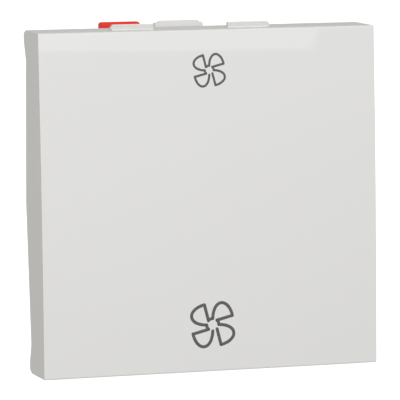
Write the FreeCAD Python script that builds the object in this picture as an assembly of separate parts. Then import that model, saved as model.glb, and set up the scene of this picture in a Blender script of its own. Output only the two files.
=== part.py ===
import FreeCAD, Part
import math, os

V = FreeCAD.Vector

# Fan speed switch insert, millimetres. +Z is up, the user looks along +Y at the rocker.
# The origin is the middle of the frame seat: the plane y = 0 where the flange meets the mounting frame.

# Rocker cap
cap_width = 45.0
cap_height = 44.9
face_standoff = 12.3  # corners of the face in front of the seat
face_crown = 0.3  # the face is a shallow barrel, higher in the middle
face_wall = 1.6
skirt_wall = 1.3
face_edge_round = 0.2  # along the top and bottom of the face
face_side_round = 0.1
end_draft = 0.18  # the top and bottom walls lean in by this towards the face
end_level = 7.3  # depth of the leaning part of the top and bottom walls
end_depth = 8.5  # depth of the pads at the ends of the skirt
end_slant = 0.45  # height lost behind the leaning part
end_pad = 1.0  # height of the pads
rim_ramp = 2.4  # height of the ramp beside the pads
rim_low_depth = 7.45  # skirt depth beside the ramp
rim_mid_depth = 8.96  # skirt depth at the middle of the shallow V

# A pair of small ridges on the top wall of the cap, pointed at their outer ends
ridge_front = 2.45  # depth of their front faces
ridge_thick = 0.63
ridge_middle = -1.68  # x of the middle of the pair
ridge_inner = 5.0  # from the middle of the pair
ridge_outer = 10.78
ridge_point = 0.41
ridge_rise = 0.62  # above the outline of the cap
ridge_point_rise = 0.135
ridge_root = 0.6

# Rocker carrier, which the cap clips on
pivot_depth = 7.7  # axis of the rocker behind the face corners
carrier_front = 3.2  # depth of the front of its plate
carrier_plate = 1.5
carrier_half_width = 14.4
carrier_half_height = 8.5
arm_thick = 1.6
arm_round = 2.2
trunnion_r = 1.2
trunnion_length = 2.6
trunnion_fit = 0.05
tube_r = 3.4
tube_end = 1.4  # y of the open end of the guide tube
plunger_fit = 0.08

# Clips between cap and carrier
clip_half_spacing_x = 9.0
clip_half_spacing_z = 6.0
clip_width = 3.0
clip_thick = 1.2
clip_nose = 0.4
clip_nose_height = 0.9
clip_play = 0.15
nose_play = 0.05
rib_thick = 1.2
rib_x = 12.4
rib_half_height = 7.6

# Plunger and its spring
plunger_r = 2.22
plunger_front = -3.0
plunger_shoulder = 2.2
plunger_tip_r = 1.6
plunger_tip = 5.4  # y of the end of the tip
spring_bore_r = 1.55
spring_bore_depth = 3.5
spring_mean_r = 1.2
spring_wire_r = 0.22
spring_turns = 6
spring_wire_sides = 6  # the thin wire is six-sided, which keeps its facets few
spring_play = 0.05

# Bridge plate
flange_inset_x = 1.5  # the flange stays this far inside the cap's outline
flange_inset_z = 0.45
flange_thick = 2.0
flange_corner = 1.2
aperture_half_x = 4.5
aperture_half_z = 5.5
post_thick = 2.4
post_gap = 0.4  # between a carrier arm and its post
post_round = 2.3
post_foot = 3.4  # half height of a post at the flange
snap_leg_thick = 1.2
snap_leg_half = 3.0
snap_nose = 0.8
snap_leg_length = 8.2
snap_window_half = 2.2
snap_window_front = 4.3
snap_window_rear = 6.3
snap_play = 0.15

# Base
base_width = 32.6
base_inset_z = 1.1  # the base stays this far inside the flange
base_depth = 18.9
base_corner = 2.0
base_wall = 1.2
contact_half_x = 13.0
contact_floor = 11.4
divider = 1.0  # wall between the contact room and the terminal rooms
terminal_x = 8.02
room_half = 4.4
room_height = 8.1
room_front = 2.2
catch_y = 2.2  # front of the frame clips, so a frame rim of this thickness is held
catch_rise = 2.06
catch_shoulder_rise = 1.78
catch_root = 0.8
catch_half = 2.7
catch_shoulder_half = 3.5
catch_lean = 0.19  # the sides of the catch lean in by this at each step
catch_land = 0.3
catch_length = 5.2
catch_slot = 0.7
catch_slot_end = 11.0
catch_free = 0.3

# Release buttons
button_half = 2.71
button_front = 2.4
button_length = 5.6
button_rise = 2.02
button_blade = 1.2  # thickness of the part that stands out of the base
button_play = 0.12
button_round = 0.35
button_shoulder_half = 3.4
button_shoulder_play = 0.2
button_shoulder_height = 1.0
button_leg_inner = 2.0
button_leg_outer = 2.75
button_leg_front = 4.6
button_leg_rear = 7.0
button_leg_gap = 0.2  # above the free end of the clamp spring, with the bar's thickness between

# Terminals
bar_thick = 1.0
busbar_half = 1.7
busbar_drop = 3.7  # below the roof of its room
busbar_front = 4.4
busbar_end_gap = 1.5
riser_inner = 3.0  # from the middle of the terminal room
riser_outer = 4.2
bar_play = 0.2
common_half_height = 1.5
ear_inner = 2.9
ear_thick = 0.7
contact_pad_half = 1.8
link_half_height = 0.8
low_link_offset = 1.0  # past the middle of the low contact

# Contact lever, its pin and the contacts
lever_half_width = 2.5
lever_axis_y = 7.2
lever_thick = 0.8
lever_end_front = 6.2
lever_shoulder_front = 5.2
lever_valley_front = 5.8
lever_shoulder_z = 2.3
lever_flat_z = 4.4
lever_end_gap = 1.0  # to the wall of the contact room
lever_end_margin = 1.6  # past the middle of a contact
barrel_r = 1.3
pin_r = 0.7
pin_fit = 0.05
pin_seat = 0.02
moving_r = 1.3
moving_height = 0.6
fixed_r = 1.5
fixed_height = 1.9
dome = 0.3
shank_r = 0.6
shank_fit = 0.02

# Clamp springs
leaf_thick = 0.4
leaf_half_width = 2.8
leaf_anchor_front = 6.0
leaf_loop_y = 14.4
leaf_loop_r = 1.0
leaf_tip_y = 5.2
leaf_tip_gap = 0.2  # below the busbar

# Back plate
back_thick = 3.0
back_chamfer = 0.8
wire_r = 1.4
funnel_r = 2.3
funnel_depth = 0.9
tab_half = 2.5
tab_thick = 1.0
tab_length = 5.0
tab_nose = 0.6
tab_nose_length = 1.0
tab_play = 0.15

# Worked out from the above
face_y = -face_standoff
axis_y = face_y + pivot_depth
carrier_y = face_y + carrier_front
carrier_back = carrier_y + carrier_plate
arm_outer = carrier_half_width
trunnion_end = arm_outer + trunnion_length
post_inner = arm_outer + post_gap
cap_half_x = cap_width / 2
cap_half_z = cap_height / 2
flange_front = -flange_thick
flange_half_x = cap_half_x - flange_inset_x
flange_half_z = cap_half_z - flange_inset_z
base_half_x = base_width / 2
base_half_z = flange_half_z - base_inset_z
catch_top = base_half_z + catch_rise
catch_shoulder_top = base_half_z + catch_shoulder_rise
room_top = base_half_z - base_wall
room_floor = room_top - room_height
contact_half_z = room_floor - divider
button_top = base_half_z + button_rise
button_shoulder_top = room_top - button_shoulder_play
button_shoulder_bottom = button_shoulder_top - button_shoulder_height
busbar_z = room_top - busbar_drop
busbar_rear = base_depth - busbar_end_gap
button_leg_end = busbar_z + button_leg_gap
wire_z = busbar_z - wire_r
lever_end_z = contact_half_z - lever_end_gap
contact_z = lever_end_z - lever_end_margin
low_link_z = -contact_z - low_link_offset
bar_front = contact_floor - bar_thick
lever_end_back = lever_end_front + lever_thick
terminals = {"line": (-1, 1), "low": (-1, -1), "high": (1, -1)}  # side in X and in Z


def block(x0, x1, y0, y1, z0, z1):
    return Part.makeBox(x1 - x0, y1 - y0, z1 - z0, V(x0, y0, z0))


def slab(half_x, y0, y1, half_z):
    return block(-half_x, half_x, y0, y1, -half_z, half_z)


def rod(radius, x0, x1, y, z):
    return Part.makeCylinder(radius, x1 - x0, V(x0, y, z), V(1, 0, 0))


def bore(radius, x, z, y0, y1):
    return Part.makeCylinder(radius, y1 - y0, V(x, y0, z), V(0, 1, 0))


# A side profile of (y, z) points, swept along X
def profile(points, x0, x1):
    corners = [V(x0, y, z) for y, z in points]
    face = Part.Face(Part.makePolygon(corners + corners[:1]))
    return face.extrude(V(x1 - x0, 0, 0))


# A plan of (x, y) points, raised along Z
def plan(points, z0, z1):
    corners = [V(x, y, z0) for x, y in points]
    face = Part.Face(Part.makePolygon(corners + corners[:1]))
    return face.extrude(V(0, 0, z1 - z0))


# A front view of (x, z) points, pushed back along Y
def elevation(points, y0, y1):
    corners = [V(x, y0, z) for x, z in points]
    face = Part.Face(Part.makePolygon(corners + corners[:1]))
    return face.extrude(V(0, y1 - y0, 0))


# A half section of (radius, y) points, turned about the Y axis
def turned(points):
    corners = [V(r, y, 0) for r, y in points]
    face = Part.Face(Part.makePolygon(corners + corners[:1]))
    return face.revolve(V(0, 0, 0), V(0, 1, 0), 360)


def flip_z(shape):
    return shape.mirror(V(0, 0, 0), V(0, 0, 1))


def flip_x(shape):
    return shape.mirror(V(0, 0, 0), V(1, 0, 0))


def both(shape, flip):
    return shape.fuse(flip(shape))


def round_edges(shape, radius, wanted):
    return shape.makeFillet(radius, [e for e in shape.Edges if wanted(e.BoundBox)])


def ridges():
    front = face_y + ridge_front
    flank = ridge_outer - ridge_point
    foot = cap_half_z - end_draft
    root = cap_half_z - ridge_root
    top = cap_half_z + ridge_rise
    point = (ridge_outer, cap_half_z + ridge_point_rise)
    ridge = elevation([(ridge_inner, root), (flank, root), (flank, foot), point, (flank, top),
                       (ridge_inner, top)], front, front + ridge_thick)
    pair = both(ridge, flip_x)
    pair.translate(V(ridge_middle, 0, 0))
    return pair


def rocker_cap():
    half = cap_half_z
    front_half = half - end_draft
    left = -cap_half_x
    pad_top = half - end_slant
    pad_bottom = pad_top - end_pad
    ramp_end = pad_bottom - rim_ramp
    crown_top = V(left, face_y - face_crown, 0)
    crown = Part.Arc(V(left, face_y, -front_half), crown_top, V(left, face_y, front_half))
    top = [(end_level, half), (end_depth, pad_top), (end_depth, pad_bottom), (rim_low_depth, ramp_end)]
    rim = [(0, front_half)] + top + [(rim_mid_depth, 0)]
    rim = rim + [(d, -z) for d, z in reversed(rim[:-1])]
    skirt = Part.makePolygon([V(left, face_y + d, z) for d, z in rim])
    outline = Part.Wire([crown.toShape()] + skirt.Edges)
    shell = Part.Face(outline).extrude(V(cap_width, 0, 0))
    shell = round_edges(shell, face_edge_round, lambda b: b.XLength > half and b.YMax < face_y + face_crown)
    shell = round_edges(shell, face_side_round, lambda b: b.ZLength > half and b.YMin < face_y)
    inside = slab(cap_half_x - skirt_wall, face_y + face_wall, 0, half - skirt_wall)
    shell = shell.cut(inside)
    shell = shell.fuse(ridges())
    inner_y = face_y + face_wall
    rib_half = rib_thick / 2
    rib = block(rib_x - rib_half, rib_x + rib_half, inner_y, carrier_y, -rib_half_height, rib_half_height)
    shell = shell.fuse(both(rib, flip_x))
    clip_in = clip_half_spacing_z - clip_thick / 2
    clip_out = clip_half_spacing_z + clip_thick / 2
    seat = carrier_back + nose_play
    tip = seat + clip_nose_height
    leg = profile([(inner_y, clip_in), (tip, clip_in), (tip, clip_out), (seat, clip_out + clip_nose),
                   (seat, clip_out), (inner_y, clip_out)],
                  clip_half_spacing_x - clip_width / 2, clip_half_spacing_x + clip_width / 2)
    legs = both(both(leg, flip_x), flip_z)
    return shell.fuse(legs).removeSplitter()


def rocker_carrier():
    plate = slab(carrier_half_width, carrier_y, carrier_back, carrier_half_height)
    slot_x = clip_width / 2 + clip_play
    slot_z = clip_thick / 2 + clip_play
    slot = block(clip_half_spacing_x - slot_x, clip_half_spacing_x + slot_x, carrier_y, carrier_back,
                 clip_half_spacing_z - slot_z, clip_half_spacing_z + slot_z)
    plate = plate.cut(both(both(slot, flip_x), flip_z))
    web = profile([(carrier_y, -carrier_half_height), (carrier_back, -carrier_half_height),
                   (axis_y, -arm_round), (axis_y, arm_round),
                   (carrier_back, carrier_half_height), (carrier_y, carrier_half_height)],
                  arm_outer - arm_thick, arm_outer)
    arm = web.fuse(rod(arm_round, arm_outer - arm_thick, arm_outer, axis_y, 0))
    arm = arm.fuse(rod(trunnion_r, arm_outer - arm_thick, trunnion_end, axis_y, 0))
    tube = bore(tube_r, 0, 0, carrier_y, tube_end)
    guide = bore(plunger_r + plunger_fit, 0, 0, carrier_back, tube_end)
    return plate.fuse(both(arm, flip_x)).fuse(tube.cut(guide)).removeSplitter()


def plunger():
    neck = plunger_tip - plunger_tip_r
    body = turned([(0, plunger_front), (plunger_r, plunger_front), (plunger_r, plunger_shoulder),
                   (plunger_tip_r, neck), (0, neck)])
    tip = Part.makeSphere(plunger_tip_r, V(0, neck, 0))
    pocket = bore(spring_bore_r, 0, 0, plunger_front, plunger_front + spring_bore_depth)
    return body.fuse(tip).cut(pocket).removeSplitter()


def plunger_spring():
    start = carrier_back + spring_wire_r + spring_play
    end = plunger_front + spring_bore_depth - spring_wire_r - spring_play
    length = end - start
    coil = Part.Wire(Part.makeHelix(length / spring_turns, length, spring_mean_r).Edges)
    turns = [2 * math.pi * i / spring_wire_sides for i in range(spring_wire_sides + 1)]
    section = Part.makePolygon([V(spring_mean_r + spring_wire_r * math.cos(a), 0, spring_wire_r * math.sin(a))
                                for a in turns])
    spring = coil.makePipeShell([section], True, True)
    spring.rotate(V(0, 0, 0), V(1, 0, 0), -90)
    spring.translate(V(0, start, 0))
    return spring


def bearing_post():
    x0, x1 = post_inner, post_inner + post_thick
    web = profile([(flange_front, -post_foot), (flange_front, post_foot),
                   (axis_y, post_round), (axis_y, -post_round)], x0, x1)
    post = web.fuse(rod(post_round, x0, x1, axis_y, 0))
    return post.cut(rod(trunnion_r + trunnion_fit, x0, x1, axis_y, 0))


def snap_leg():
    x0 = base_half_x + snap_play
    leg = block(x0, x0 + snap_leg_thick, flange_front, snap_leg_length, -snap_leg_half, snap_leg_half)
    window = block(x0, x0 + snap_leg_thick, snap_window_front, snap_window_rear,
                   -snap_window_half, snap_window_half)
    return leg.cut(window)


def bridge_plate():
    flange = slab(flange_half_x, flange_front, 0, flange_half_z)
    flange = round_edges(flange, flange_corner, lambda b: b.YLength > flange_thick / 2)
    flange = flange.cut(slab(aperture_half_x, flange_front, 0, aperture_half_z))
    plate = flange.fuse(both(bearing_post(), flip_x)).fuse(both(snap_leg(), flip_x))
    return plate.removeSplitter()


# A frame clip on the top of the base: a catch with a long ramp on a tongue of the wall
def frame_clip():
    ramp_end = catch_y + catch_length
    root = base_half_z - catch_root
    ramp = profile([(catch_y, root), (catch_y, catch_top), (catch_y + catch_land, catch_top),
                    (ramp_end, base_half_z), (ramp_end, root)], -catch_shoulder_half, catch_shoulder_half)
    right = [(catch_shoulder_half, root), (catch_shoulder_half - catch_lean, catch_shoulder_top),
             (catch_half + catch_lean, catch_shoulder_top), (catch_half, catch_top)]
    steps = elevation(right + [(-x, z) for x, z in reversed(right)], catch_y, ramp_end)
    return ramp.common(steps)


def frame_clip_slots():
    slot_outer = catch_shoulder_half + catch_slot
    slot = block(catch_shoulder_half, slot_outer, 0, catch_slot_end, room_top, catch_top)
    front = block(-catch_shoulder_half, catch_shoulder_half, 0, catch_free, room_top, catch_top)
    relief = block(-slot_outer, slot_outer, 0, catch_slot_end, room_top - base_wall, room_top)
    return both(slot, flip_x).fuse(front).fuse(relief)


def terminal_room():
    return block(terminal_x - room_half, terminal_x + room_half, room_front, base_depth, room_floor, room_top)


def button_slot():
    half = button_half + button_play
    return block(terminal_x - half, terminal_x + half, button_front - button_play,
                 button_front + button_blade + button_play, room_top, base_half_z)


# The gap in the divider for a terminal's riser: side is +1 away from the middle or -1 towards it
def riser_gap(side):
    near = terminal_x + side * (riser_inner - bar_play)
    far = terminal_x + side * (riser_outer + bar_play)
    x0, x1 = min(near, far), max(near, far)
    return block(x0, x1, bar_front - bar_play, contact_floor, contact_half_z, room_floor)


# Turns something made at the top right to the side of a terminal
def at_terminal(shape, sides):
    if sides[0] < 0:
        shape = flip_x(shape)
    if sides[1] < 0:
        shape = flip_z(shape)
    return shape


def base():
    tub = slab(base_half_x, 0, base_depth, base_half_z)
    tub = round_edges(tub, base_corner, lambda b: b.YLength > base_depth / 2)
    tub = tub.cut(slab(contact_half_x, 0, contact_floor, contact_half_z))
    for sides in ((-1, 1), (1, 1), (-1, -1), (1, -1)):
        tub = tub.cut(at_terminal(terminal_room(), sides))
    for sides in terminals.values():
        tub = tub.cut(at_terminal(button_slot(), sides))
        tub = tub.cut(at_terminal(riser_gap(-1 if sides[0] < 0 else 1), sides))
    clip = frame_clip()
    tub = tub.fuse(both(clip, flip_z)).cut(both(frame_clip_slots(), flip_z))
    nose_end = base_half_x + snap_nose
    nose = plan([(base_half_x, snap_window_front + snap_play), (nose_end, snap_window_front + snap_play),
                 (base_half_x, snap_window_rear - snap_play)],
                snap_play - snap_window_half, snap_window_half - snap_play)
    tub = tub.fuse(both(nose, flip_x))
    pocket = snap_tab(tab_play)
    return tub.cut(both(pocket, flip_x)).removeSplitter()


# A snap tab of the back plate, or the pocket for it when play is given
def snap_tab(play):
    inner = base_half_x - tab_thick - play
    front = base_depth - tab_length
    nose_back = front + tab_nose_length
    half = tab_half + play
    return plan([(base_half_x, front - play), (base_half_x, base_depth),
                 (inner, base_depth), (inner, nose_back + play),
                 (inner - tab_nose, nose_back + play), (inner, front - play)], -half, half)


def back_plate():
    rear = base_depth + back_thick
    plate = slab(base_half_x, base_depth, rear, base_half_z)
    plate = round_edges(plate, base_corner, lambda b: b.YLength > back_thick / 2)
    rim = [e for e in plate.Edges if e.BoundBox.YMin > rear - back_chamfer]
    plate = plate.makeChamfer(back_chamfer, rim)
    for sides in terminals.values():
        hole = bore(wire_r, terminal_x, wire_z, base_depth, rear)
        mouth = V(terminal_x, rear - funnel_depth, wire_z)
        funnel = Part.makeCone(wire_r, funnel_r, funnel_depth, mouth, V(0, 1, 0))
        plate = plate.cut(at_terminal(hole.fuse(funnel), sides))
    return plate.fuse(both(snap_tab(0), flip_x)).removeSplitter()


def release_button():
    blade = block(terminal_x - button_half, terminal_x + button_half, button_front,
                  button_front + button_blade, button_shoulder_bottom, button_top)
    blade = round_edges(blade, button_round, lambda b: b.ZMin > button_top - button_round)
    shoulder = block(terminal_x - button_shoulder_half, terminal_x + button_shoulder_half, button_front,
                     button_front + button_length, button_shoulder_bottom, button_shoulder_top)
    button = blade.fuse(shoulder)
    for side in (-1, 1):
        inner = terminal_x + side * button_leg_inner
        outer = terminal_x + side * button_leg_outer
        leg = block(min(inner, outer), max(inner, outer), button_leg_front, button_leg_rear, button_leg_end,
                    button_shoulder_bottom)
        button = button.fuse(leg)
    return button.removeSplitter()


def busbar(side):
    bar = block(terminal_x - busbar_half, terminal_x + busbar_half, busbar_front, busbar_rear, busbar_z,
                busbar_z + bar_thick)
    outer = terminal_x + side * riser_outer
    bridge = block(min(terminal_x, outer), max(terminal_x, outer), bar_front, contact_floor, busbar_z,
                   busbar_z + bar_thick)
    return bar.fuse(bridge)


# A strip on the floor of the contact room
def strip(x0, x1, z0, z1):
    return block(min(x0, x1), max(x0, x1), bar_front, contact_floor, min(z0, z1), max(z0, z1))


def contact_pad(z):
    pad = strip(-contact_pad_half, contact_pad_half, z - contact_pad_half, z + contact_pad_half)
    return pad.cut(bore(shank_r + shank_fit, 0, z, bar_front, contact_floor))


def common_terminal():
    near, far = riser_inner - terminal_x, riser_outer - terminal_x
    foot = strip(near, ear_inner + ear_thick, -common_half_height, common_half_height)
    riser = strip(near, far, -common_half_height, busbar_z + bar_thick)
    ear_outer = ear_inner + ear_thick
    ear = block(ear_inner, ear_outer, lever_axis_y, bar_front, -common_half_height, common_half_height)
    ear = ear.fuse(rod(common_half_height, ear_inner, ear_outer, lever_axis_y, 0))
    ear = ear.cut(rod(pin_r + pin_seat, ear_inner, ear_outer, lever_axis_y, 0))
    bar = at_terminal(busbar(-1), terminals["line"])
    return foot.fuse(riser).fuse(both(ear, flip_x)).fuse(bar).removeSplitter()


def low_terminal():
    near, far = riser_inner - terminal_x, riser_outer - terminal_x
    link = strip(near, 0, low_link_z - link_half_height, low_link_z + link_half_height)
    riser = strip(near, far, low_link_z + link_half_height, -busbar_z - bar_thick)
    bar = at_terminal(busbar(-1), terminals["low"])
    pad = contact_pad(-contact_z)
    hole = bore(shank_r + shank_fit, 0, -contact_z, bar_front, contact_floor)
    return pad.fuse(link).fuse(riser).fuse(bar).cut(hole).removeSplitter()


def high_terminal():
    near, far = terminal_x + riser_inner, terminal_x + riser_outer
    link = strip(contact_pad_half, far, contact_z - link_half_height, contact_z + link_half_height)
    riser = strip(near, far, contact_z + link_half_height, -busbar_z - bar_thick)
    bar = at_terminal(busbar(1), terminals["high"])
    return contact_pad(contact_z).fuse(link).fuse(riser).fuse(bar).removeSplitter()


def contact_lever():
    upper = [(lever_end_front, lever_end_z), (lever_end_front, lever_flat_z),
             (lever_shoulder_front, lever_shoulder_z)]
    front = upper + [(lever_valley_front, 0)] + [(y, -z) for y, z in reversed(upper)]
    back = [(y + lever_thick, z) for y, z in reversed(front)]
    lever = profile(front + back, -lever_half_width, lever_half_width)
    lever = lever.fuse(rod(barrel_r, -lever_half_width, lever_half_width, lever_axis_y, 0))
    lever = lever.cut(rod(pin_r + pin_fit, -lever_half_width, lever_half_width, lever_axis_y, 0))
    for z in (-contact_z, contact_z):
        lever = lever.cut(bore(shank_r + shank_fit, 0, z, lever_end_front, lever_end_back))
    return lever.removeSplitter()


def lever_pin():
    end = ear_inner + ear_thick
    return rod(pin_r, -end, end, lever_axis_y, 0)


# A contact rivet with its domed head towards +Y, made at the origin of its head's seat
def rivet(radius, height, shank):
    dome_r = (radius ** 2 + dome ** 2) / (2 * dome)
    head = bore(radius, 0, 0, 0, height).common(Part.makeSphere(dome_r, V(0, height - dome_r, 0)))
    return head.fuse(bore(shank_r, 0, 0, -shank, 0)).removeSplitter()


def moving_contacts():
    head = rivet(moving_r, moving_height, lever_thick)
    pair = [head.translated(V(0, lever_end_back, z)) for z in (-contact_z, contact_z)]
    return Part.makeCompound(pair)


def fixed_contacts():
    head = rivet(fixed_r, fixed_height, bar_thick)
    head.rotate(V(0, 0, 0), V(1, 0, 0), 180)
    pair = [head.translated(V(0, bar_front, z)) for z in (-contact_z, contact_z)]
    return Part.makeCompound(pair)


# A leaf bent round a loop: the anchor lies on the room's floor, the free end points at the busbar
def clamp_spring():
    x = terminal_x - leaf_half_width
    anchor_z = room_floor + leaf_thick / 2
    loop_top = anchor_z + 2 * leaf_loop_r
    tip_z = busbar_z - leaf_tip_gap - leaf_thick / 2
    anchor = Part.LineSegment(V(x, leaf_anchor_front, anchor_z), V(x, leaf_loop_y, anchor_z))
    loop = Part.Arc(V(x, leaf_loop_y, anchor_z), V(x, leaf_loop_y + leaf_loop_r, anchor_z + leaf_loop_r),
                    V(x, leaf_loop_y, loop_top))
    leaf = Part.LineSegment(V(x, leaf_loop_y, loop_top), V(x, leaf_tip_y, tip_z))
    line = Part.Wire([anchor.toShape(), loop.toShape(), leaf.toShape()])
    face = line.makeOffset2D(leaf_thick / 2, fill=True, openResult=True)
    other = line.makeOffset2D(-leaf_thick / 2, fill=True, openResult=True)
    width = V(2 * leaf_half_width, 0, 0)
    return face.extrude(width).fuse(other.extrude(width)).removeSplitter()


pieces = {
    "rocker_cap": rocker_cap(),
    "rocker_carrier": rocker_carrier(),
    "plunger": plunger(),
    "plunger_spring": plunger_spring(),
    "bridge_plate": bridge_plate(),
    "base": base(),
    "back_plate": back_plate(),
    "common_terminal": common_terminal(),
    "low_terminal": low_terminal(),
    "high_terminal": high_terminal(),
    "contact_lever": contact_lever(),
    "lever_pin": lever_pin(),
    "moving_contacts": moving_contacts(),
    "fixed_contacts": fixed_contacts(),
}
for name, sides in terminals.items():
    pieces["clamp_spring_" + name] = at_terminal(clamp_spring(), sides)
    pieces["release_button_" + name] = at_terminal(release_button(), sides)

os.makedirs("parts", exist_ok=True)
for name, shape in pieces.items():
    shape.exportStep("parts/" + name + ".step")
    box = shape.BoundBox
    print(name, len(shape.Solids), shape.isValid(), round(shape.Volume, 2),
          [round(v, 2) for v in (box.XMin, box.XMax, box.YMin, box.YMax, box.ZMin, box.ZMax)])
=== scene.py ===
import math

import bmesh
import bpy
from mathutils import Matrix, Vector
from mathutils.bvhtree import BVHTree


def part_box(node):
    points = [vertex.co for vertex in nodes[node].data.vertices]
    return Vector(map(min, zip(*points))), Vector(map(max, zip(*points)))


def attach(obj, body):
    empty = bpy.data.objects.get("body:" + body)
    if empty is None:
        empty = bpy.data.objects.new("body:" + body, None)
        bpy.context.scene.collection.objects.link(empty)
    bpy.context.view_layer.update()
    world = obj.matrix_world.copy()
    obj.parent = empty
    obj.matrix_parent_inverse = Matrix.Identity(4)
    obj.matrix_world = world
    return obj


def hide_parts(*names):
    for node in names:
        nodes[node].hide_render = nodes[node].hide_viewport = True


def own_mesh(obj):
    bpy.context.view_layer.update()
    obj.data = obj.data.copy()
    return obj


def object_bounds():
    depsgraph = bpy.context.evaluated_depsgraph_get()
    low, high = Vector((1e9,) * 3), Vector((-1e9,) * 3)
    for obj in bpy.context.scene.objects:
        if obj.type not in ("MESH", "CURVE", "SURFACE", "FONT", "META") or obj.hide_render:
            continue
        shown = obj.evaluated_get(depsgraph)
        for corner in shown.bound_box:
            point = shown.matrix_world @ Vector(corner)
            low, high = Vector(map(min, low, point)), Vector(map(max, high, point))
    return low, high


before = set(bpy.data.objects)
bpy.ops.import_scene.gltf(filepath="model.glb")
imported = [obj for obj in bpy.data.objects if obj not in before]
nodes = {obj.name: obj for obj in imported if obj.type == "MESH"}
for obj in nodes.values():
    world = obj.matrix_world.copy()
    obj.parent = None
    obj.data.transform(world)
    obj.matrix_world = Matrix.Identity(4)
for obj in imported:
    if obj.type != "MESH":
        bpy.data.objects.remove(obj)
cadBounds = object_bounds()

mm = 0.001
half = 0.5
scene = bpy.context.scene
capLow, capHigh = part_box("rocker_cap")
mixSockets = {"factor": 0, "first": 6, "second": 7, "result": 2}  # the colour sockets of a Mix node


class Wire:  # one socket of a node tree, so that sums on it read as sums
    def __init__(self, tree, socket=None):
        self.tree = tree
        self.socket = socket

    def add(self, kind, settings=None, inputs=None, out=0):  # any node: its settings first, then its sockets
        node = self.tree.nodes.new(kind)
        for name, value in (settings or {}).items():
            setattr(node, name, value)
        for name, value in (inputs or {}).items():
            if isinstance(value, Wire):
                value.into(node, name)
            else:
                node.inputs[name].default_value = value
        return Wire(self.tree, node.outputs[out])

    def into(self, node, name):
        self.tree.links.new(self.socket, node.inputs[name])

    def sum(self, operation, first, second):
        return self.add("ShaderNodeMath", {"operation": operation}, {0: first, 1: second})

    def __add__(self, other):
        return self.sum("ADD", self, other)

    def __radd__(self, other):
        return self.sum("ADD", other, self)

    def __sub__(self, other):
        return self.sum("SUBTRACT", self, other)

    def __rsub__(self, other):
        return self.sum("SUBTRACT", other, self)

    def __mul__(self, other):
        return self.sum("MULTIPLY", self, other)

    def __rmul__(self, other):
        return self.sum("MULTIPLY", other, self)

    def __lt__(self, other):
        return self.sum("LESS_THAN", self, other)

    def __gt__(self, other):
        return self.sum("GREATER_THAN", self, other)

    def axes(self):  # the three numbers of a vector
        split = self.add("ShaderNodeSeparateXYZ", {}, {"Vector": self}).socket.node
        return [Wire(self.tree, out) for out in split.outputs]


def blankFinish(name):  # a material, its shader and a wire to start from
    material = bpy.data.materials.new(name)
    material.use_nodes = True
    tree = material.node_tree
    return material, tree.nodes["Principled BSDF"], Wire(tree)


def blend(start, factor, first, second):  # one colour to another, each written out or on a wire
    first, second = (end if isinstance(end, Wire) else (*end, 1) for end in (first, second))
    ends = {mixSockets["factor"]: factor, mixSockets["first"]: first, mixSockets["second"]: second}
    return start.add("ShaderNodeMix", {"data_type": "RGBA"}, ends, mixSockets["result"])


def noise(start, where, scale, detail):
    return start.add("ShaderNodeTexNoise", {}, {"Vector": where, "Scale": scale, "Detail": detail}, "Fac")


detailLook = {"cloud": 2, "pores": 3, "lines": 4, "stain": 3, "grain": 3}  # octaves of each noise


def mouldedPlastic(name, look):
    material, shader, start = blankFinish(name)
    where = start.add("ShaderNodeTexCoord", out="Object")
    cloud = noise(start, where, look["cloud"], detailLook["cloud"])  # slow drift of the tone
    pores = noise(start, where, look["pores"], detailLook["pores"])
    blend(start, cloud, look["colour"], look["shade"]).into(shader, "Base Color")
    (look["roughness"] + (pores - half) * look["spread"]).into(shader, "Roughness")
    skin = {"Strength": look["relief"], "Distance": look["depth"] * mm, "Height": pores}
    start.add("ShaderNodeBump", {}, skin, "Normal").into(shader, "Normal")
    shader.inputs["IOR"].default_value = look["ior"]
    return material


def rockerFinishAndPaintedShade(name, look):  # satin walls, a polished face, and painted shade on the ridges below their tops: a darker copy of the same white
    material = mouldedPlastic(name, look)
    shader = material.node_tree.nodes["Principled BSDF"]
    start = Wire(material.node_tree)
    depth, height = start.add("ShaderNodeTexCoord", out="Object").axes()[1:]
    walls = Wire(start.tree, shader.inputs["Base Color"].links[0].from_socket)
    # painted shade: below their top lip the ridges get a darker copy of the cap white in place of its own
    # tone
    ridges = (height > -capLow.z) * (height < capHigh.z - look["lip"] * mm)
    blend(start, ridges, walls, look["ridge"]).into(shader, "Base Color")
    (depth < capLow.y + look["front"] * mm).into(shader, "Coat Weight")
    shader.inputs["Coat Roughness"].default_value = look["polish"]
    shader.inputs["Coat IOR"].default_value = look["coatIor"]
    return material


def rolledMetal(name, look):
    material, shader, start = blankFinish(name)
    where = start.add("ShaderNodeTexCoord", out="Object")
    drawn = start.add("ShaderNodeMapping", {}, {"Vector": where, "Scale": look["stretch"]})
    lines = noise(start, drawn, look["lines"], detailLook["lines"])  # marks along the strip
    stain = noise(start, where, look["stain"], detailLook["stain"])
    blend(start, stain, look["colour"], look["tarnish"]).into(shader, "Base Color")
    (look["roughness"] + (lines - half) * look["spread"]).into(shader, "Roughness")
    marks = {"Strength": look["relief"], "Distance": look["depth"] * mm, "Height": lines}
    start.add("ShaderNodeBump", {}, marks, "Normal").into(shader, "Normal")
    shader.inputs["Metallic"].default_value = 1
    return material


# ridge is painted shade, a darker copy of the cap white laid on the ridges; lip is the mm at their tops left
# at the walls' colour
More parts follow.
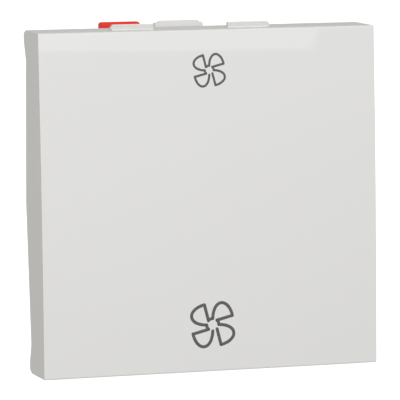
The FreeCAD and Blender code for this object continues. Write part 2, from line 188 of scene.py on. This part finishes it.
capLook = {"colour": (0.815, 0.815, 0.81), "shade": (0.80, 0.80, 0.795), "cloud": 60, "pores": 2600,
           "roughness": 0.5, "spread": 0.1, "relief": 0.05, "depth": 0.01, "ior": 1.3,
           "front": 0.4, "polish": 0.022, "coatIor": 1.355, "ridge": (0.688, 0.69, 0.676), "lip": 0.09}
flangeLook = {"colour": (0.75, 0.755, 0.74), "shade": (0.72, 0.725, 0.71), "cloud": 90, "pores": 2200,
              "roughness": 0.38, "spread": 0.12, "relief": 0.10, "depth": 0.02, "ior": 1.5}
baseLook = {"colour": (0.812, 0.812, 0.808), "shade": (0.785, 0.785, 0.78), "cloud": 80, "pores": 1800,
            "roughness": 0.5, "spread": 0.16, "relief": 0.25, "depth": 0.03, "ior": 1.5}
carrierLook = {"colour": (0.30, 0.31, 0.32), "shade": (0.26, 0.27, 0.28), "cloud": 120, "pores": 2000,
               "roughness": 0.42, "spread": 0.12, "relief": 0.15, "depth": 0.02, "ior": 1.48}
redLook = {"colour": (0.868, 0.05, 0.029), "shade": (0.79, 0.042, 0.025), "cloud": 180, "pores": 2400,
           "roughness": 0.46, "spread": 0.12, "relief": 0.12, "depth": 0.02, "ior": 1.25}
greyLook = {"colour": (0.47, 0.47, 0.46), "shade": (0.42, 0.42, 0.41), "cloud": 180, "pores": 2400,
            "roughness": 0.36, "spread": 0.12, "relief": 0.12, "depth": 0.02, "ior": 1.5}
copperLook = {"colour": (0.80, 0.47, 0.26), "tarnish": (0.62, 0.33, 0.18), "stretch": (1, 1, 0.08),
              "lines": 2600, "stain": 260, "roughness": 0.34, "spread": 0.22, "relief": 0.12, "depth": 0.02}
silverLook = {"colour": (0.86, 0.85, 0.82), "tarnish": (0.70, 0.69, 0.66), "stretch": (1, 0.2, 1),
              "lines": 3200, "stain": 700, "roughness": 0.28, "spread": 0.16, "relief": 0.08, "depth": 0.01}
steelLook = {"colour": (0.62, 0.62, 0.63), "tarnish": (0.50, 0.50, 0.52), "stretch": (0.08, 1, 1),
             "lines": 2600, "stain": 420, "roughness": 0.26, "spread": 0.16, "relief": 0.08, "depth": 0.01}

finishes = {
    "cap_white": rockerFinishAndPaintedShade("capWhite", capLook),
    "flange_white": mouldedPlastic("flangeWhite", flangeLook),
    "base_white": mouldedPlastic("baseWhite", baseLook),
    "carrier_grey": mouldedPlastic("carrierGrey", carrierLook),
    "button_red": mouldedPlastic("buttonRed", redLook),
    "button_grey": mouldedPlastic("buttonGrey", greyLook),
    "copper_alloy": rolledMetal("copperStrip", copperLook),
    "contact_silver": rolledMetal("contactSilver", silverLook),
    "spring_steel": rolledMetal("springSteel", steelLook),
}
for piece in nodes.values():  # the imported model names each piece's slot as its material
    slot = piece.data.materials[0].name
    piece.data.materials.clear()
    piece.data.materials.append(finishes[slot])
print("finishes on", len(nodes), "pieces")


def plainMesh(piece):  # swaps the modifiers for what they make
    graph = bpy.context.evaluated_depsgraph_get()
    shown = piece.evaluated_get(graph)
    made = bpy.data.meshes.new_from_object(shown, preserve_all_data_layers=True, depsgraph=graph)
    made.name = piece.name
    piece.modifiers.clear()
    piece.data = made
    return piece


skinLook = {"merge": 0.0005, "sharp": 40}  # mm between corners that are one, degrees of a sharp edge


def skinOf(node, name):  # a node's own mesh as a new piece: its triangles merged, smooth between its edges
    mesh = nodes[node].data.copy()
    mesh.name = name
    work = bmesh.new()
    work.from_mesh(mesh)
    bmesh.ops.remove_doubles(work, verts=work.verts, dist=skinLook["merge"] * mm)
    work.to_mesh(mesh)
    work.free()
    if "custom_normal" in mesh.attributes:
        mesh.attributes.remove(mesh.attributes["custom_normal"])
    mesh.shade_smooth()
    mesh.set_sharp_from_angle(angle=math.radians(skinLook["sharp"]))
    piece = bpy.data.objects.new(name, mesh)
    scene.collection.objects.link(piece)
    return piece


# The barrel of the face in mm, and the degrees from straight ahead that still count as the face
shellLook = {"crown": 0.3, "faceHalf": 22.27, "front": 6}


# The rocker's shell: the solid's own form with the even shading of a true barrel on its face
def rockerShell():
    shell = skinOf("rocker_cap", "rockerShell")
    even = shell.modifiers.new("evenShading", "WEIGHTED_NORMAL")
    even.keep_sharp = True
    plainMesh(shell)
    mesh = shell.data
    radius = (shellLook["faceHalf"] ** 2 + shellLook["crown"] ** 2) / (2 * shellLook["crown"]) * mm
    ahead = math.cos(math.radians(shellLook["front"]))
    normals = [corner.vector.copy() for corner in mesh.corner_normals]
    for loop in mesh.loops:
        if -normals[loop.index].y > ahead:
            z = mesh.vertices[loop.vertex_index].co.z
            normals[loop.index] = Vector((0, -math.sqrt(radius ** 2 - z ** 2), z)) / radius
    mesh.normals_split_custom_set(normals)
    return shell


shell = rockerShell()
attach(shell, "rocker")
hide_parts("rocker_cap")
print("rocker shell", len(shell.data.polygons), "faces")


coilLook = {"turns": 6, "wire": 0.22, "sides": 12, "steps": 36}


# The plunger's spring: a round wire wound between the carrier and the bottom of the plunger's bore
def coilTree(low, high):
    tree = bpy.data.node_groups.new("coilSpring", "GeometryNodeTree")
    wire = coilLook["wire"] * mm
    asked = {"Turns": coilLook["turns"], "Wire": wire, "Radius": high.x - wire,
             "Length": high.y - low.y - 2 * wire, "Start": low.y + wire}
    for name, value in asked.items():
        socket = tree.interface.new_socket(name, in_out="INPUT", socket_type="NodeSocketFloat")
        socket.default_value = value
    tree.interface.new_socket("Geometry", in_out="OUTPUT", socket_type="NodeSocketGeometry")
    start = Wire(tree)
    entry = tree.nodes.new("NodeGroupInput")
    given = {name: Wire(tree, entry.outputs[name]) for name in asked}
    wound = {"Resolution": coilLook["steps"], "Rotations": given["Turns"], "Start Radius": given["Radius"],
             "End Radius": given["Radius"], "Height": given["Length"]}
    line = start.add("GeometryNodeCurveSpiral", {}, wound)
    seat = start.add("ShaderNodeCombineXYZ", {}, {"Y": given["Start"]})
    quarterTurn = (-math.tau / 4, 0, 0)  # lays the upright coil along the plunger
    along = {"Geometry": line, "Translation": seat, "Rotation": quarterTurn}
    line = start.add("GeometryNodeTransform", {}, along)
    section = {"Resolution": coilLook["sides"], "Radius": given["Wire"]}
    ring = start.add("GeometryNodeCurvePrimitiveCircle", {}, section)
    swept = {"Curve": line, "Profile Curve": ring, "Fill Caps": True}
    coil = start.add("GeometryNodeCurveToMesh", {}, swept)
    coil = start.add("GeometryNodeRealizeInstances", {}, {"Geometry": coil})
    steel = {"Geometry": coil, "Material": finishes["spring_steel"]}
    coil = start.add("GeometryNodeSetMaterial", {}, steel)
    coil.into(tree.nodes.new("NodeGroupOutput"), "Geometry")
    return tree


def coilSpring():
    low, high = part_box("plunger_spring")
    piece = bpy.data.objects.new("coilSpring", bpy.data.meshes.new("coilSpring"))
    scene.collection.objects.link(piece)
    piece.modifiers.new("coilSpring", "NODES").node_group = coilTree(low, high)
    plainMesh(piece)
    piece.data.shade_smooth()
    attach(piece, "rocker")
    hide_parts("plunger_spring")
    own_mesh(piece)
    print("coil spring", len(piece.data.polygons), "faces")


def clampSpring(terminal):  # the leaf as one merged skin of its own mesh, riding with the mechanism
    node = "clamp_spring_" + terminal
    piece = skinOf(node, "clampSpring" + terminal.capitalize())
    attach(piece, "mechanism")
    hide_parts(node)
    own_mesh(piece)
    print(piece.name, len(piece.data.polygons), "faces")


coilSpring()
for terminal in ("line", "low", "high"):
    clampSpring(terminal)


# The mouldings behind the rocker, with the outer edges of each rounded by so many mm
softLook = {"base": {"name": "baseMoulding", "slot": "base_white", "round": 0.12},
            "bridge_plate": {"name": "bridgeMoulding", "slot": "flange_white", "round": 0.2},
            "back_plate": {"name": "backMoulding", "slot": "base_white", "round": 0.2}}
softCut = {"flat": 0.5, "edge": 50, "segments": 2, "lift": 0.01}  # flat and edge in degrees, lift in mm


def facesOut(edge, form):  # true where the way out from an edge is free, so not inside the moulding
    out = sum((face.normal for face in edge.link_faces), Vector()).normalized()
    middle = sum((corner.co for corner in edge.verts), Vector()) / len(edge.verts)
    return form.ray_cast(middle + out * softCut["lift"] * mm, out)[0] is None


def softMoulding(node, look):
    piece = skinOf(node, look["name"])
    work = bmesh.new()
    work.from_mesh(piece.data)
    flat = math.radians(softCut["flat"])
    bmesh.ops.dissolve_limit(work, angle_limit=flat, verts=work.verts, edges=work.edges)
    form = BVHTree.FromBMesh(work)
    weight = work.edges.layers.float.new("bevel_weight_edge")
    for edge in work.edges:
        turn = edge.calc_face_angle_signed(0)
        edge[weight] = turn > math.radians(softCut["edge"]) and facesOut(edge, form)
    work.to_mesh(piece.data)
    work.free()
    bevel = piece.modifiers.new("softEdges", "BEVEL")
    bevel.limit_method = "WEIGHT"
    bevel.width = look["round"] * mm
    bevel.segments = softCut["segments"]
    bevel.use_clamp_overlap = False
    bevel.harden_normals = True
    plainMesh(piece)
    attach(piece, "mechanism")
    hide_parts(node)
    print(piece.name, len(piece.data.polygons), "faces")


for node, look in softLook.items():
    softMoulding(node, look)


inkLook = {"colour": (0.095, 0.092, 0.098), "speckle": (0.125, 0.121, 0.128), "grain": 5200,
           "roughness": 0.45, "spread": 0.2}


def signInk():
    material, shader, start = blankFinish("signInk")
    where = start.add("ShaderNodeTexCoord", out="Object")
    grain = noise(start, where, inkLook["grain"], detailLook["grain"])
    blend(start, grain, inkLook["colour"], inkLook["speckle"]).into(shader, "Base Color")
    (inkLook["roughness"] + (grain - half) * inkLook["spread"]).into(shader, "Roughness")
    return material


# Sizes of the large fan sign in mm, from its hub. The small one is the same sign, scaled.
fanLook = {"blades": 4, "joins": 3, "root": (0.0, 0.82), "rootHandle": (0.05, 1.9), "topIn": (0.46, 2.86),
           "top": (1.25, 2.86), "topOut": (1.93, 2.86), "tipHandle": (2.52, 1.98), "tip": (2.68, 1.11),
           "heel": (0.57, 0.58), "hub": 0.82, "stroke": 0.42, "relief": 0.04, "steps": 14,
           "penSides": 12, "endRings": 8, "clear": 1, "reach": 4}
signPlaces = {"fanSignSmall": {"scale": 0.725, "x": 0.011, "z": 17.0},
              "fanSignLarge": {"scale": 0.995, "x": 0.018, "z": -16.14}}
bendEnds = ("Start", "Start Handle", "End Handle", "End")


def inPlane(point):  # a point of the sign, as a place in the plane of the face
    return Vector((point[0], 0, point[1])) * mm


def fanTree(ink):
    tree = bpy.data.node_groups.new("fanSign", "GeometryNodeTree")
    asked = {"Blades": ("NodeSocketInt", fanLook["blades"]), "Joins": ("NodeSocketInt", fanLook["joins"]),
             "Stroke": ("NodeSocketFloat", fanLook["stroke"] * mm),
             "Relief": ("NodeSocketFloat", fanLook["relief"] * mm), "Size": ("NodeSocketFloat", 1.0),
             "Place": ("NodeSocketVector", (0, 0, 0)), "Face": ("NodeSocketObject", None)}
    for name, (kind, value) in asked.items():
        socket = tree.interface.new_socket(name, in_out="INPUT", socket_type=kind)
        if value is not None:
            socket.default_value = value
    tree.interface.new_socket("Geometry", in_out="OUTPUT", socket_type="NodeSocketGeometry")
    start = Wire(tree)
    entry = tree.nodes.new("NodeGroupInput")
    given = {name: Wire(tree, entry.outputs[name]) for name in asked}

    def bend(*names):  # one curve of a blade's edge, by four of the points above
        places = dict(zip(bendEnds, (inPlane(fanLook[name]) for name in names)))
        curve = {"Resolution": fanLook["steps"], **places}
        return start.add("GeometryNodeCurvePrimitiveBezierSegment", {}, curve)

    def join(*parts):
        joined = tree.nodes.new("GeometryNodeJoinGeometry")
        for part in reversed(parts):
            part.into(joined, 0)
        return Wire(tree, joined.outputs[0])

    def around(part, count):  # the same part at each quarter turn about the hub
        points = start.add("GeometryNodePoints", {}, {"Count": count})
        index = start.add("GeometryNodeInputIndex")
        turn = start.add("ShaderNodeCombineXYZ", {}, {"Y": index * (-math.tau / fanLook["blades"])})
        spread = {"Points": points, "Instance": part, "Rotation": turn}
        placed = start.add("GeometryNodeInstanceOnPoints", {}, spread)
        return start.add("GeometryNodeRealizeInstances", {}, {"Geometry": placed})

    rise = bend("root", "rootHandle", "topIn", "top")
    fall = bend("top", "topOut", "tipHandle", "tip")
    ends = {"Start": inPlane(fanLook["tip"]), "End": inPlane(fanLook["heel"])}
    edge = start.add("GeometryNodeCurvePrimitiveLine", {}, ends)
    halfTurn = math.atan2(fanLook["heel"][1], fanLook["heel"][0]) / 2  # to the middle of the hub's arc
    middle = (fanLook["hub"] * math.cos(halfTurn), fanLook["hub"] * math.sin(halfTurn))
    arc = {"Resolution": fanLook["steps"], "Start": inPlane(fanLook["heel"]), "Middle": inPlane(middle),
           "End": inPlane((fanLook["root"][1], 0))}
    hubArc = start.add("GeometryNodeCurveArc", {"mode": "POINTS"}, arc)
    lines = join(around(join(rise, fall, edge), given["Blades"]), around(hubArc, given["Joins"]))
    penRadius = given["Stroke"] * half
    nib = {"Resolution": fanLook["penSides"], "Radius": penRadius}
    pen = start.add("GeometryNodeCurvePrimitiveCircle", {}, nib)
    strokes = start.add("GeometryNodeCurveToMesh", {}, {"Curve": lines, "Profile Curve": pen})
    blob = {"Segments": fanLook["penSides"], "Rings": fanLook["endRings"], "Radius": penRadius}
    ball = start.add("GeometryNodeMeshUVSphere", {}, blob)
    ends = start.add("GeometryNodeCurveEndpointSelection", {}, {"Start Size": 1, "End Size": 1})
    rounded = {"Points": lines, "Instance": ball, "Selection": ends}
    caps = start.add("GeometryNodeInstanceOnPoints", {}, rounded)
    sign = start.add("GeometryNodeRealizeInstances", {}, {"Geometry": join(strokes, caps)})
    thin = given["Relief"] * (1 / (fanLook["stroke"] * mm))  # presses the round strokes to a film of ink
    flat = start.add("ShaderNodeCombineXYZ", {}, {"X": given["Size"], "Y": thin, "Z": given["Size"]})
    moved = {"Geometry": sign, "Translation": given["Place"], "Scale": flat}
    sign = start.add("GeometryNodeTransform", {}, moved)
    face = start.add("GeometryNodeObjectInfo", {}, {"Object": given["Face"]}, "Geometry")
    x, depth, z = start.add("GeometryNodeInputPosition").axes()
    front = start.add("ShaderNodeCombineXYZ", {}, {"X": x, "Y": capLow.y - fanLook["clear"] * mm, "Z": z})
    ray = {"Target Geometry": face, "Source Position": front, "Ray Direction": (0, 1, 0),
           "Ray Length": fanLook["reach"] * mm}
    surface = start.add("GeometryNodeRaycast", {}, ray, "Hit Position").axes()[1]
    settled = start.add("ShaderNodeCombineXYZ", {}, {"X": x, "Y": surface + depth, "Z": z})
    sign = start.add("GeometryNodeSetPosition", {}, {"Geometry": sign, "Position": settled})
    sign = start.add("GeometryNodeSetShadeSmooth", {}, {"Geometry": sign})
    sign = start.add("GeometryNodeRealizeInstances", {}, {"Geometry": sign})
    sign = start.add("GeometryNodeSetMaterial", {}, {"Geometry": sign, "Material": ink})
    sign.into(tree.nodes.new("NodeGroupOutput"), "Geometry")
    return tree


def fanSign(name, place, tree):
    piece = bpy.data.objects.new(name, bpy.data.meshes.new(name))
    scene.collection.objects.link(piece)
    made = piece.modifiers.new("fanSign", "NODES")
    made.node_group = tree
    key = {item.name: item.identifier for item in tree.interface.items_tree}
    made[key["Size"]] = place["scale"]
    made[key["Place"]] = (place["x"] * mm, 0, place["z"] * mm)
    made[key["Face"]] = shell
    return plainMesh(piece)


fans = fanTree(signInk())
for name, place in signPlaces.items():
    sign = fanSign(name, place, fans)
    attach(sign, "rocker")
    print(name, len(sign.data.polygons), "faces")


def stagePiece(name, work, material):  # a mesh that belongs to the studio, not to the switch
    mesh = bpy.data.meshes.new(name)
    work.to_mesh(mesh)
    work.free()
    mesh.materials.append(material)
    piece = bpy.data.objects.new(name, mesh)
    scene.collection.objects.link(piece)
    return piece


# The radius is in metres, and the gap below the switch in mm
floorLook = {"colour": (0.86, 0.86, 0.86), "worn": (0.84, 0.84, 0.84), "patches": 3, "detail": 2,
             "roughness": 0.9, "glow": 0.8, "radius": 3.0, "sides": 64, "below": 0.2}


def paleFloor():
    material, shader, start = blankFinish("paleFloor")
    where = start.add("ShaderNodeTexCoord", out="Object")
    patches = noise(start, where, floorLook["patches"], floorLook["detail"])
    blend(start, patches, floorLook["colour"], floorLook["worn"]).into(shader, "Base Color")
    shader.inputs["Roughness"].default_value = floorLook["roughness"]
    shader.inputs["Emission Color"].default_value = (1, 1, 1, 1)
    shader.inputs["Emission Strength"].default_value = floorLook["glow"]
    work = bmesh.new()
    bmesh.ops.create_circle(work, cap_ends=True, segments=floorLook["sides"], radius=floorLook["radius"])
    bmesh.ops.translate(work, verts=work.verts, vec=(0, 0, cadBounds[0].z - floorLook["below"] * mm))
    floor = stagePiece("floor", work, material)
    floor.visible_diffuse = False  # the floor throws no light back, so the sides keep their shade
    floor.visible_glossy = False


roomLook = {"light": 0.45, "colour": (1, 0.985, 0.945)}


def room():  # an even room for light, plain white where the camera looks past the switch
    world = bpy.data.worlds.new("room")
    scene.world = world
    world.use_nodes = True
    sky = world.node_tree.nodes["Background"]
    start = Wire(world.node_tree)
    seen = start.add("ShaderNodeLightPath", out="Is Camera Ray")
    lit = [roomLook["light"] * part for part in roomLook["colour"]]
    blend(start, seen, lit, (1, 1, 1)).into(sky, "Color")


# Corners in metres, across and up from the middle of the face: lower left, then round by the right
softboxLook = {"corners": ((-0.70, 0.0416), (0.1626, 0.0173), (0.2838, 0.56), (-0.70, 0.56)),
               "distance": 0.47, "glow": 2.345}

# A dim card behind the switch, which the top of the rocker mirrors at a flat angle
rearCardLook = {"corners": ((0.02, 0.0), (0.36, 0.0), (0.36, 0.3), (0.02, 0.3)),
                "distance": -0.6, "glow": 0.58}


def softbox(name, look):
    material, shader = blankFinish(name)[:2]
    shader.inputs["Base Color"].default_value = (0, 0, 0, 1)
    shader.inputs["Emission Color"].default_value = (1, 1, 1, 1)
    shader.inputs["Emission Strength"].default_value = look["glow"]
    work = bmesh.new()
    away = capLow.y - look["distance"]
    work.faces.new([work.verts.new((x, away, z)) for x, z in look["corners"]])
    panel = stagePiece(name, work, material)
    panel.visible_camera = False


paleFloor()
room()
softbox("softbox", softboxLook)
softbox("rearCard", rearCardLook)
scene.view_settings.view_transform = "Standard"
print("stage lit")


# Turns in degrees, places in mm from the middle of the face
shotLook = {"lens": 286.53, "sensor": 36, "yaw": 15.489, "pitch": 5.466, "roll": -0.801,
            "sideways": 1.378, "upward": -0.151, "distance": 412.86}


def shot():
    turn = (Matrix.Rotation(math.radians(shotLook["roll"]), 3, "Y")
            @ Matrix.Rotation(math.radians(shotLook["pitch"]), 3, "X")
            @ Matrix.Rotation(math.radians(shotLook["yaw"]), 3, "Z"))
    back = turn.transposed()
    faceCentre = Vector((0, capLow.y + shellLook["crown"] * mm, 0))
    offset = Vector((shotLook["sideways"], shotLook["distance"], shotLook["upward"])) * mm
    lens = bpy.data.cameras.new("photoView")
    lens.sensor_width = shotLook["sensor"]
    lens.lens = shotLook["lens"]
    camera = bpy.data.objects.new("photoView", lens)
    right, up, behind = (back @ Vector(axis) for axis in ((1, 0, 0), (0, 0, 1), (0, -1, 0)))
    axes = Matrix((right, up, behind)).transposed()
    camera.matrix_world = Matrix.Translation(faceCentre - back @ offset) @ axes.to_4x4()
    scene.collection.objects.link(camera)
    scene.camera = camera


shot()
